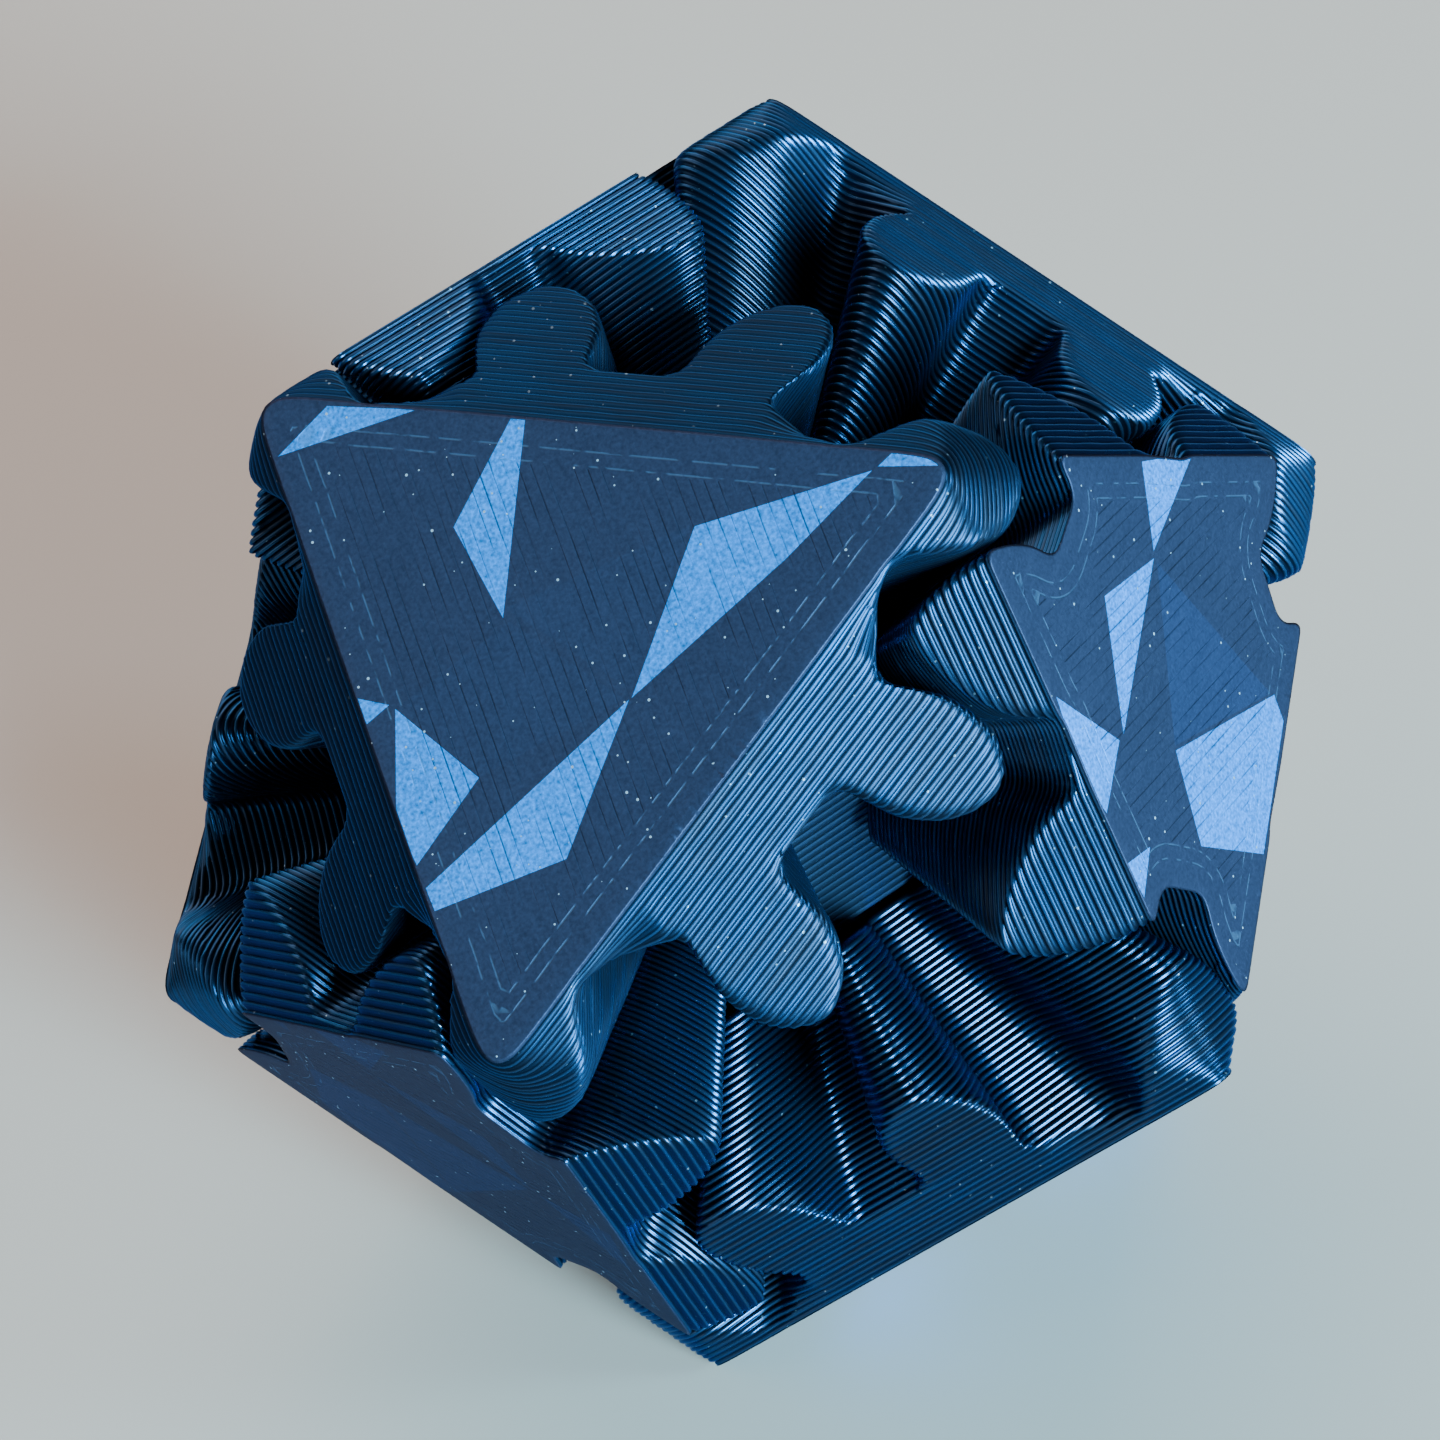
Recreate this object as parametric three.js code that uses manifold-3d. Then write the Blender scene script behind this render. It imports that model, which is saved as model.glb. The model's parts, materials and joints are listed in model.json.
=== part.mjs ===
// Geared puzzle ball with twenty flat faces. Eight bevel gears point out from one centre along
// the diagonals of a cube: four have nine teeth and four have six, and each nine-tooth gear
// meshes with three six-tooth ones. Every gear turns on a split snap pin held in a small core.
// Millimetres. The origin is the centre, where all eight gear axes meet. +Z is up and -Y is
// the front, with the ball standing on one of its twelve side faces.
import * as THREE from 'three';
import { mergeVertices } from 'three/addons/utils/BufferGeometryUtils.js';
import Module from 'manifold-3d';

const wasm = await Module();
wasm.setup();

// The outside: eight gear faces and twelve side faces, all at one distance from the centre.
const faceDistance = 16;
const sideFaceTilt = 18.87; // degrees between a side face's normal and the nearest cube axis

// Gear teeth. Angles in degrees: cones are measured from the gear's axis, halfTooth around it.
const pressureAngle = 26;
const halfNineTooth = 7.8; // half of a nine-tooth gear's tooth at its pitch cone
const backlash = 1.23; // arc left free between mating teeth at the pitch cones
const narrowestTop = 1.5; // the least half width of a tooth where its tip ends
const nineTooth = {
  teeth: 9,
  phase: 20, // where the first tooth is centred, from the direction of a mating gear
  tipCone: 47.6,
  rootGap: 2.2, // between the root and the mating gear's tips
  roundedTip: 3.8, // how much of the tooth's top is rounded
  filletCone: 2, // how far the root fillet reaches up the flank
  filletTurn: 3, // how far it reaches along the root
  colour: 0x1c2536,
};
const sixTooth = {
  teeth: 6,
  phase: 0,
  tipCone: 37.3,
  rootGap: 0.7,
  roundedTip: 1.7,
  filletCone: 2.2,
  filletTurn: 5.5,
  colour: 0x1a2232,
};
const halvings = 40; // for finding a narrow tooth's tip
const filletSteps = 2;
const flankSteps = 3;
const tipSteps = 3;

// The core: an octahedron with its six corners cut off square.
const coreFace = 6.5; // centre to each face that a gear runs against
const cornerHeight = 0.4; // how much further out each square face is
const gearGap = 0.3; // between a gear's inner end and the core

// The pins: round shanks that the gears turn on, split at the outer end to snap in.
const pinRadius = 1.45;
const pinGrip = 3.3; // length held in the core
const gearLid = 3.6; // solid plastic left between a pin's bore and the gear's flat face
const lipReach = 0.4; // how far the snap lip stands out from the shank
const lipLength = 0.5; // straight part of the lip
const lipTaper = 0.9; // lead-in cone beyond the lip
const flatDepth = 0.3; // taken off each side of the pin so that it can't turn in the core
const slotWidth = 0.8;
const slotLength = 3.6;
const fitGap = 0.15; // around a pin, in its bore and in the core
const endGap = 0.3; // beyond a pin's ends
const roundSides = 20;

const shaftAngle = Math.acos(1 / 3); // radians between neighbouring diagonals of a cube
const innerEnd = coreFace + gearGap;
const pinStart = coreFace - pinGrip;
const pinEnd = faceDistance - gearLid - endGap;
const pinNeck = pinEnd - lipTaper - lipLength;
const lipRadius = pinRadius + lipReach;
const flatWidth = 2 * (pinRadius - flatDepth);
const envelopeSpan = 4 * faceDistance; // longer than any line across the ball

function degrees(angle) {
  return THREE.MathUtils.degToRad(angle);
}

function solidFrom(geometry) {
  const bare = geometry.clone();
  bare.deleteAttribute('normal');
  bare.deleteAttribute('uv');
  const merged = mergeVertices(bare, 1e-5);
  return new wasm.Manifold(new wasm.Mesh({
    numProp: 3,
    vertProperties: merged.attributes.position.array,
    triVerts: merged.index.array,
  }));
}

function geometryFrom(solid) {
  const mesh = solid.getMesh();
  const geometry = new THREE.BufferGeometry();
  geometry.setAttribute('position', new THREE.BufferAttribute(mesh.vertProperties, 3));
  geometry.setIndex(new THREE.BufferAttribute(mesh.triVerts, 1));
  geometry.computeVertexNormals();
  return geometry;
}

// Frame of one gear: z out along its axis and x towards a mating gear's axis.
function gearFrame(axis) {
  const z = axis.clone().normalize();
  const mate = new THREE.Vector3(-axis.x, axis.y, axis.z);
  const x = mate.addScaledVector(z, -mate.dot(z)).normalize();
  const y = new THREE.Vector3().crossVectors(z, x);
  return new THREE.Matrix4().makeBasis(x, y, z);
}

// Turns the z axis onto a direction.
function facing(direction) {
  const up = new THREE.Vector3(0, 0, 1);
  const turn = new THREE.Quaternion().setFromUnitVectors(up, direction.clone().normalize());
  return new THREE.Matrix4().makeRotationFromQuaternion(turn);
}

// A slab centred on the origin, with its two faces square to a direction.
function slab(direction, distance) {
  const box = new THREE.BoxGeometry(envelopeSpan, envelopeSpan, 2 * distance);
  return box.applyMatrix4(facing(direction));
}

function diagonals() {
  return [[1, 1, 1], [1, -1, -1], [-1, 1, -1], [-1, -1, 1]].map((a) => new THREE.Vector3(...a));
}

// The six directions that carry the twelve side faces, two faces to each.
function sideDirections() {
  const long = Math.cos(degrees(sideFaceTilt));
  const short = Math.sin(degrees(sideFaceTilt));
  const found = [];
  for (const sign of [1, -1]) {
    found.push(new THREE.Vector3(0, sign * long, short));
    found.push(new THREE.Vector3(short, 0, sign * long));
    found.push(new THREE.Vector3(sign * long, short, 0));
  }
  return found;
}

// The whole outside as one solid: what all ten pairs of opposite faces have between them.
function outside() {
  const directions = [...diagonals(), ...sideDirections()];
  const slabs = directions.map((direction) => solidFrom(slab(direction, faceDistance)));
  return slabs.reduce((all, next) => all.intersect(next));
}

// A gear's pitch cone, in radians from its axis, from the tooth numbers and the angle between
// the two axes.
function pitchCone(gear, mate) {
  const ratio = mate.teeth / gear.teeth;
  return Math.atan2(Math.sin(shaftAngle), ratio + Math.cos(shaftAngle));
}

// The six-tooth gear's half tooth: what the nine-tooth gear's tooth and the backlash leave.
function halfSixTooth(ninePitch, sixPitch) {
  const spacing = ((2 * Math.PI) / nineTooth.teeth) * Math.sin(ninePitch);
  const nineArc = 2 * degrees(halfNineTooth) * Math.sin(ninePitch);
  return (spacing - nineArc - degrees(backlash)) / (2 * Math.sin(sixPitch));
}

// Half of a tooth, in radians around the axis, on the cone at a given angle from the axis.
// The flank is a spherical involute and runs straight down below its base cone.
function toothFlank(pitch, halfAtPitch) {
  const sinBase = Math.cos(degrees(pressureAngle)) * Math.sin(pitch);
  const base = Math.asin(sinBase);
  const unwound = (cone) => {
    const roll = Math.acos(Math.min(1, Math.cos(cone) / Math.cos(base))) / sinBase;
    return roll - Math.acos(Math.min(1, Math.tan(base) / Math.tan(cone)));
  };
  const half = halfAtPitch + unwound(pitch);
  return { base, halfAt: (cone) => half - unwound(Math.max(cone, base)) };
}

// The cone of a tooth's tip. A narrow tooth is shorter, because it stops before its two flanks
// meet. The place is found by halving the stretch from the pitch cone to the named tip cone.
function tipOf(gear, pitch, flank) {
  let reached = pitch;
  let beyond = degrees(gear.tipCone);
  if (flank.halfAt(beyond) >= degrees(narrowestTop)) return beyond;
  for (let i = 0; i < halvings; i += 1) {
    const middle = (reached + beyond) / 2;
    if (flank.halfAt(middle) >= degrees(narrowestTop)) reached = middle;
    else beyond = middle;
  }
  return reached;
}

// All the cones of two mating gears. Each root leaves its gap beyond the other gear's tip.
function matedSizes(nine, six) {
  const ninePitch = pitchCone(nine, six);
  const sixPitch = pitchCone(six, nine);
  const nineFlank = toothFlank(ninePitch, degrees(halfNineTooth));
  const sixFlank = toothFlank(sixPitch, halfSixTooth(ninePitch, sixPitch));
  const nineTip = tipOf(nine, ninePitch, nineFlank);
  const sixTip = tipOf(six, sixPitch, sixFlank);
  const nineRoot = shaftAngle - sixTip - degrees(nine.rootGap);
  const sixRoot = shaftAngle - nineTip - degrees(six.rootGap);
  return [
    { ...nineFlank, root: nineRoot, tip: nineTip },
    { ...sixFlank, root: sixRoot, tip: sixTip },
  ];
}

// One side of a tooth from the root to the tip, as pairs of cone angle and half width.
function toothSide(gear, sizes) {
  const { base, halfAt, root, tip } = sizes;
  const roundFrom = tip - degrees(gear.roundedTip);
  const filletTop = root + degrees(gear.filletCone);
  const side = [];
  for (let i = 0; i <= filletSteps; i += 1) {
    const turn = (Math.PI / 2) * (i / filletSteps);
    const cone = root + degrees(gear.filletCone) * (1 - Math.cos(turn));
    side.push([cone, halfAt(base) + degrees(gear.filletTurn) * (1 - Math.sin(turn))]);
  }
  for (let i = 0; i <= flankSteps; i += 1) {
    const from = Math.max(base, filletTop + 0.001);
    const cone = from + (roundFrom - from) * (i / flankSteps);
    side.push([cone, halfAt(cone)]);
  }
  for (let i = 1; i <= tipSteps; i += 1) {
    const turn = (Math.PI / 2) * (i / tipSteps);
    const cone = roundFrom + (tip - roundFrom) * Math.sin(turn);
    side.push([cone, halfAt(cone) * Math.cos(turn)]);
  }
  return side;
}

// The gear's section one millimetre from the centre, drawn on a plane square to its axis.
function toothOutline(gear, sizes) {
  const side = toothSide(gear, sizes);
  const falling = side.slice(0, -1).reverse();
  const points = [];
  for (let tooth = 0; tooth < gear.teeth; tooth += 1) {
    const middle = degrees(gear.phase) + (2 * Math.PI * tooth) / gear.teeth;
    const put = (cone, angle) => {
      const radius = Math.tan(cone);
      points.push(new THREE.Vector2(radius * Math.cos(angle), radius * Math.sin(angle)));
    };
    side.forEach(([cone, half]) => put(cone, middle - half));
    falling.forEach(([cone, half]) => put(cone, middle + half));
  }
  return points;
}

// Extrudes the outline along the axis so that it grows with distance from the centre.
function toothedCone(gear, sizes) {
  const shape = new THREE.Shape(toothOutline(gear, sizes));
  const geometry = new THREE.ExtrudeGeometry(shape, { depth: 1, steps: 1, bevelEnabled: false });
  const position = geometry.attributes.position;
  const outerEnd = faceDistance + 1;
  for (let i = 0; i < position.count; i += 1) {
    const height = innerEnd + position.getZ(i) * (outerEnd - innerEnd);
    position.setXYZ(i, position.getX(i) * height, position.getY(i) * height, height);
  }
  return geometry;
}

// A body turned about z from radius and height pairs, closed on the axis at both ends.
function turned(profile) {
  const points = profile.map(([radius, height]) => new THREE.Vector2(radius, height));
  return new THREE.LatheGeometry(points, roundSides).rotateX(Math.PI / 2);
}

// The blind hole in a gear, with a wider pocket at its end for the pin's snap lip.
function gearBore() {
  const bore = pinRadius + fitGap;
  const pocket = lipRadius + fitGap;
  const pocketStart = pinNeck - endGap;
  const end = pinEnd + endGap;
  return turned([
    [0, innerEnd - 1], [bore, innerEnd - 1], [bore, pocketStart],
    [pocket, pocketStart], [pocket, end], [0, end],
  ]);
}

function gearGeometry(gear, sizes, axis) {
  const intoFrame = gearFrame(axis).invert();
  const shell = solidFrom(geometryFrom(outside()).applyMatrix4(intoFrame));
  const body = solidFrom(toothedCone(gear, sizes)).intersect(shell);
  return geometryFrom(body.subtract(solidFrom(gearBore())));
}

// A pin along z: flats at the core end, a plain shank, and a split snap lip at the outer end.
function pinGeometry() {
  const shank = solidFrom(turned([
    [0, pinStart], [pinRadius, pinStart], [pinRadius, pinNeck], [lipRadius, pinNeck],
    [lipRadius, pinNeck + lipLength], [pinRadius - fitGap, pinEnd], [0, pinEnd],
  ]));
  const slotBox = new THREE.BoxGeometry(slotWidth, 4 * lipRadius, 2 * slotLength);
  const slot = solidFrom(slotBox.translate(0, 0, pinEnd));
  const keyed = coreFace - pinStart;
  const offset = flatWidth / 2 + pinRadius;
  let pin = shank.subtract(slot);
  for (const side of [1, -1]) {
    const flat = new THREE.BoxGeometry(2 * pinRadius, 4 * pinRadius, 2 * keyed);
    pin = pin.subtract(solidFrom(flat.translate(side * offset, 0, pinStart)));
  }
  return geometryFrom(pin);
}

// The hole in the core that grips a pin by its flats.
function coreHole() {
  const start = pinStart - endGap;
  const hole = pinRadius + fitGap;
  const round = solidFrom(turned([
    [0, start], [hole, start], [hole, coreFace + 1], [0, coreFace + 1],
  ]));
  const width = flatWidth + 2 * fitGap;
  const flats = new THREE.BoxGeometry(width, 4 * hole, 4 * coreFace);
  return geometryFrom(round.intersect(solidFrom(flats)));
}

function coreGeometry(axes) {
  const slabs = diagonals().map((direction) => solidFrom(slab(direction, coreFace)));
  const width = 2 * (coreFace + cornerHeight);
  const cube = new THREE.BoxGeometry(width, width, width);
  let core = slabs.reduce((all, next) => all.intersect(next), solidFrom(cube));
  const hole = coreHole();
  for (const axis of axes) {
    core = core.subtract(solidFrom(hole.clone().applyMatrix4(gearFrame(axis))));
  }
  return geometryFrom(core);
}

// The ball is built on the cube's axes and then turned to stand on one side face.
function standing() {
  const long = Math.cos(degrees(sideFaceTilt));
  const short = Math.sin(degrees(sideFaceTilt));
  const right = new THREE.Vector3(0, short, -long);
  const back = new THREE.Vector3(-1, 0, 0);
  const up = new THREE.Vector3(0, long, short);
  return new THREE.Matrix4().makeBasis(right, back, up).transpose();
}

function place(group, name, geometry, frame, colour) {
  const material = new THREE.MeshStandardMaterial({ color: colour, roughness: 0.42, metalness: 0.35 });
  const mesh = new THREE.Mesh(geometry, material);
  mesh.name = name;
  mesh.quaternion.setFromRotationMatrix(frame);
  group.add(mesh);
}

const ball = new THREE.Group();
ball.quaternion.setFromRotationMatrix(standing());

const nineAxes = diagonals();
const sixAxes = nineAxes.map((axis) => new THREE.Vector3(axis.x, axis.y, -axis.z));
const allAxes = [...nineAxes, ...sixAxes];
const [nineSizes, sixSizes] = matedSizes(nineTooth, sixTooth);
const nineGeometry = gearGeometry(nineTooth, nineSizes, nineAxes[0]);
const sixGeometry = gearGeometry(sixTooth, sixSizes, sixAxes[0]);
const pin = pinGeometry();

place(ball, 'core_block', coreGeometry(allAxes), new THREE.Matrix4(), 0x2a2d33);
allAxes.forEach((axis, i) => {
  place(ball, `snap_pin_${i + 1}`, pin, gearFrame(axis), 0x23262c);
});
nineAxes.forEach((axis, i) => {
  place(ball, `nine_tooth_gear_${i + 1}`, nineGeometry, gearFrame(axis), nineTooth.colour);
});
sixAxes.forEach((axis, i) => {
  place(ball, `six_tooth_gear_${i + 1}`, sixGeometry, gearFrame(axis), sixTooth.colour);
});

const object = new THREE.Group();
object.add(ball);
export default object;
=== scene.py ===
import bpy
import bmesh
import json
import math
import numpy as np
from mathutils import Matrix, Vector, geometry


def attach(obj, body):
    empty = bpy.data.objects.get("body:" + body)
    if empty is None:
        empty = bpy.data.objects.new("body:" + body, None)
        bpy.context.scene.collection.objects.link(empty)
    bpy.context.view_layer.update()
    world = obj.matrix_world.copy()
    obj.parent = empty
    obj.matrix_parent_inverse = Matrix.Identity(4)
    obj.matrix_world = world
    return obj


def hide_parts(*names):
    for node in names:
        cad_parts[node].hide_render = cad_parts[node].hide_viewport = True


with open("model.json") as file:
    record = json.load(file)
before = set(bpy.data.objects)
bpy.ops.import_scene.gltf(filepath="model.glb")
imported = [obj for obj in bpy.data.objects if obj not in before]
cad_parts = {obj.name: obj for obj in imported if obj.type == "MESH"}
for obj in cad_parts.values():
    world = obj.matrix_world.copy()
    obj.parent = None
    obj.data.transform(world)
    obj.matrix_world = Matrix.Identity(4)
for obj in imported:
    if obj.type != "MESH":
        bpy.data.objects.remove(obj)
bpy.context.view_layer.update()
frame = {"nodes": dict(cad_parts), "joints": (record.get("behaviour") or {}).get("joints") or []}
mm = 0.001
print("frame loaded:", len(frame["nodes"]), "nodes")

# Sizes are in millimetres and angles in degrees, up to where buildMesh turns them to metres.
ball = {
    "faceDistance": 16.0,     # centre to each of the twenty faces
    "sideTilt": 18.87,        # side faces lean this far off the cube axes
    "innerEnd": 6.8,          # where the gears stop, next to the core
    "edgeSharpness": 44.0,    # higher gives crisper corners
    "softness": 1.1,          # rounding of edges, in outline points
    "softReach": 3,           # neighbours on each side that the rounding takes in
}
layers = {
    "height": 0.2,            # one printed layer
    "grooveDepth": 0.14,      # how far a bead's edges fall back from its middle
    "ringsAt": (0.06, 0.35, 0.65, 0.94),    # shares of a layer's height that get a ring
    "wobble": 0.012,          # half of how far a bead may sit in from its true place
    "wavesRound": (5, 40),    # waves in a layer, round the gear: at least 5 and fewer than 40
    "seed": 11,
}
# Each gear: pitch, root and tip are cone angles from its axis. half is half a tooth's turn at the
# pitch cone, filletCone and filletTurn are how far the root's fillet reaches out and sideways,
# rounded is how much of the tip's cone angle is curved, and steps are the points of a fillet, a
# flank and half a top.
nineTooth = {
    "teeth": 9, "phase": 20.0, "half": 7.8, "pitch": 43.31, "root": 31.03, "tip": 47.6,
    "rounded": 3.8, "filletCone": 2.0, "filletTurn": 3.0, "steps": (9, 22, 16),
    "points": 54,             # along each tooth, once they are spaced evenly
}
sixTooth = {
    "teeth": 6, "phase": 0.0, "half": 16.95, "pitch": 27.21, "root": 22.23, "tip": 37.3,
    "rounded": 1.7, "filletCone": 2.2, "filletTurn": 5.5, "steps": (12, 30, 18),
    "points": 76,
}
pressureAngle = 26.0
tiny = 1e-9                   # keeps a divisor from being nought
mergeDistance = 2e-4          # points nearer than this are one point


def faceNormals():
    # twenty outward face normals: the joints' eight axes, and twelve side faces, each at
    # +-cos(tilt) * one cube axis +- sin(tilt) * the next
    tilt = math.radians(ball["sideTilt"])
    cubeX = np.array([0.0, -1.0, 0.0])
    cubeY = np.array([math.sin(tilt), 0.0, math.cos(tilt)])
    cubeZ = np.array([-math.cos(tilt), 0.0, math.sin(tilt)])
    found = [np.array(joint["axis"]) for joint in frame["joints"]]
    for first, second in ((cubeY, cubeZ), (cubeZ, cubeX), (cubeX, cubeY)):
        for a in (1, -1):
            for b in (1, -1):
                found.append(a * math.cos(tilt) * first + b * math.sin(tilt) * second)
    return np.array([n / np.linalg.norm(n) for n in found])


def gearFrame(axis):
    # columns x, y, z: z out along the gear's axis, x square to it and towards one mating gear's
    # axis, which is the same axis seen in a mirror; y = z cross x
    z = np.array(axis) / np.linalg.norm(axis)
    mate = z * np.array([1.0, -1.0, 1.0])
    x = mate - z * (mate @ z)
    x /= np.linalg.norm(x)
    return np.column_stack([x, np.cross(z, x), z])


def toothOutline(gear):
    # cone angle and turn of each point round the gear. Each flank is a spherical involute:
    # turn = half tooth + unwound(pitch) - unwound(cone), radial below the base cone, with a
    # quarter of an ellipse as its fillet and another as its rounded top
    pitch, root, tip = (math.radians(gear[k]) for k in ("pitch", "root", "tip"))
    roundFrom = tip - math.radians(gear["rounded"])
    sinBase = math.cos(math.radians(pressureAngle)) * math.sin(pitch)
    base = math.asin(sinBase)

    def unwound(cone):
        roll = np.arccos(np.clip(np.cos(cone) / math.cos(base), -1, 1)) / sinBase
        return roll - np.arccos(np.clip(math.tan(base) / np.tan(cone), -1, 1))

    def half(cone):
        return math.radians(gear["half"]) + unwound(pitch) - unwound(np.maximum(cone, base))

    fillet, flank, top = gear["steps"]
    turn = np.linspace(0, math.pi / 2, fillet)
    cones = [root + math.radians(gear["filletCone"]) * (1 - np.cos(turn))]
    halves = [half(base) + math.radians(gear["filletTurn"]) * (1 - np.sin(turn))]
    pastFillet = 0.001
    start = max(base, root + math.radians(gear["filletCone"]) + pastFillet)
    cone = np.linspace(start, roundFrom, flank)
    cones.append(cone)
    halves.append(half(cone))
    turn = np.linspace(0, math.pi / 2, top + 1)[1:]
    cone = roundFrom + (tip - roundFrom) * np.sin(turn)
    cones.append(cone)
    halves.append(half(cone) * np.cos(turn))
    cone, side = np.concatenate(cones), np.concatenate(halves)
    cone = np.concatenate([cone, cone[-2::-1]])
    side = np.concatenate([-side, side[-2::-1]])
    teeth = gear["teeth"]
    middles = math.radians(gear["phase"]) + np.arange(teeth) * 2 * math.pi / teeth
    return np.tile(cone, teeth), (middles[:, None] + side[None]).ravel()


def outward(rings):
    # unit normals of closed outlines that run anticlockwise: each point's next minus its last,
    # turned a quarter clockwise
    along = np.roll(rings, -1, 1) - np.roll(rings, 1, 1)
    side = np.stack([along[..., 1], -along[..., 0]], -1)
    return side / np.maximum(np.linalg.norm(side, axis=-1, keepdims=True), tiny)


def sections(gear, normals, heights, inset=0.0):
    # one outline for each height: the tooth cone and every face, each moved in by inset,
    # whichever comes first going out from the axis. radius = (sum of limit^-k)^(-1/k), which
    # leaves edges slightly round. A face that leads away from the axis, or hardly across it,
    # sets no limit
    cone, turn = toothOutline(gear)
    edge = np.tan(cone)[:, None] * np.stack([np.cos(turn), np.sin(turn)], -1)
    rim = heights[:, None, None] * edge[None] - outward(edge[None]) * inset
    tooth = np.linalg.norm(rim, axis=-1)
    angle = np.unwrap(np.arctan2(rim[..., 1], rim[..., 0]), axis=-1)
    angle = np.maximum.accumulate(angle, -1)    # a loop moved in past a tip must not fold back
    out = np.stack([np.cos(angle), np.sin(angle)], -1)
    lean = np.linalg.norm(normals[:, :2], axis=1)
    room = ball["faceDistance"] - heights[:, None] * normals[None, :, 2] - inset * lean[None]
    reach = out @ normals[:, :2].T
    leastReach, noLimit, leastRadius = 0.02, 1e3, 0.01
    limits = np.where(reach > leastReach, room[:, None] / np.maximum(reach, leastReach), noLimit)
    limits = np.maximum(limits, leastRadius)
    both = np.concatenate([limits, tooth[..., None]], -1)
    sharp = ball["edgeSharpness"]
    least = both.min(-1, keepdims=True)
    radius = least[..., 0] * ((both / least) ** -sharp).sum(-1) ** (-1 / sharp)
    return softened(radius[..., None] * out, gear)


def softened(rings, gear):
    # spaces each tooth's points evenly along it, then averages each with its neighbours by the
    # weights exp(-(steps away / softness)^2 / 2), so that the edges between flanks and faces are
    # rounded as printed ones are
    count, size = len(rings), rings.shape[1] // gear["teeth"]
    closed = np.concatenate([rings, rings[:, :1]], 1)
    teeth = np.stack([closed[:, i * size:(i + 1) * size + 1] for i in range(gear["teeth"])], 1)
    steps = np.linalg.norm(np.diff(teeth, axis=2), axis=-1)
    along = np.concatenate([np.zeros(steps.shape[:2] + (1,)), np.cumsum(steps, -1)], -1)
    row = 2.0 * np.arange(count * gear["teeth"]).reshape(count, gear["teeth"], 1)
    at = (along / along[..., -1:] + row).ravel()
    goal = (np.arange(gear["points"]) / gear["points"] + row).ravel()
    even = np.stack([np.interp(goal, at, teeth[..., k].ravel()) for k in (0, 1)], -1)
    even = even.reshape(count, -1, 2)
    offsets = np.arange(-ball["softReach"], ball["softReach"] + 1)
    weights = np.exp(-0.5 * (offsets / ball["softness"]) ** 2)
    weights /= weights.sum()
    return sum(w * np.roll(even, k, 1) for k, w in zip(offsets, weights))


def layeredWall(gear, normals):
    # rings down the side of a gear. Every printed layer keeps one section all through, at each
    # point the smaller of those at its top and bottom, and its edges fall back along a half
    # ellipse: inset = depth * (1 - sqrt(1 - (2t - 1)^2)) + wobble * (random + wave), as no bead
    # is laid quite true
    top, bottom, step = ball["faceDistance"], ball["innerEnd"], layers["height"]
    count = int(round((top - bottom) / step))
    start = top - step * np.arange(count)
    upper = sections(gear, normals, start)
    lower = sections(gear, normals, start - step)
    smaller = (lower ** 2).sum(-1) < (upper ** 2).sum(-1)
    rings = np.where(smaller[..., None], lower, upper)
    t = np.array(layers["ringsAt"])
    inset = layers["grooveDepth"] * (1 - np.sqrt(1 - (2 * t - 1) ** 2))
    draw = np.random.default_rng(layers["seed"])
    fewest, most = layers["wavesRound"]
    wholeTurn = np.linspace(0, 2 * math.pi, rings.shape[1] + 1)[:-1]
    waves = draw.integers(fewest, most, count)[:, None] * wholeTurn
    wave = 0.5 + 0.5 * np.sin(waves + draw.uniform(0, 2 * math.pi, count)[:, None])
    wobble = layers["wobble"] * (draw.random(count)[:, None] + wave)
    depth = inset[None, :, None] + wobble[:, None]
    flat = rings[:, None] - outward(rings)[:, None] * depth[..., None]
    high = start[:, None] - step * t[None]
    high = np.broadcast_to(high[:, :, None, None], flat.shape[:3] + (1,))
    wall = np.concatenate([flat, high], -1)
    return wall.reshape(-1, rings.shape[1], 3)


def inPolygon(points, polygon):
    # a point is inside when a ray to its right crosses the outline an odd number of times
    a, b = polygon, np.roll(polygon, -1, 0)
    x, y = points[:, 0, None], points[:, 1, None]
    spans = (a[:, 1] > y) != (b[:, 1] > y)
    rise = np.where(b[:, 1] == a[:, 1], tiny, b[:, 1] - a[:, 1])
    crossing = a[:, 0] + (y - a[:, 1]) * (b[:, 0] - a[:, 0]) / rise
    return ((spans & (x < crossing)).sum(1) % 2) == 1


def distanceTo(points, polygon):
    # shortest way from each point to a closed outline: share of an edge = (point - a) . way /
    # way^2, kept between 0 and 1
    a, b = polygon, np.roll(polygon, -1, 0)
    way = b - a
    share = ((points[:, None] - a) * way).sum(-1) / np.maximum((way ** 2).sum(-1), tiny)
    nearest = a + np.clip(share, 0, 1)[..., None] * way
    return np.linalg.norm(points[:, None] - nearest, axis=-1).min(1)


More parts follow.
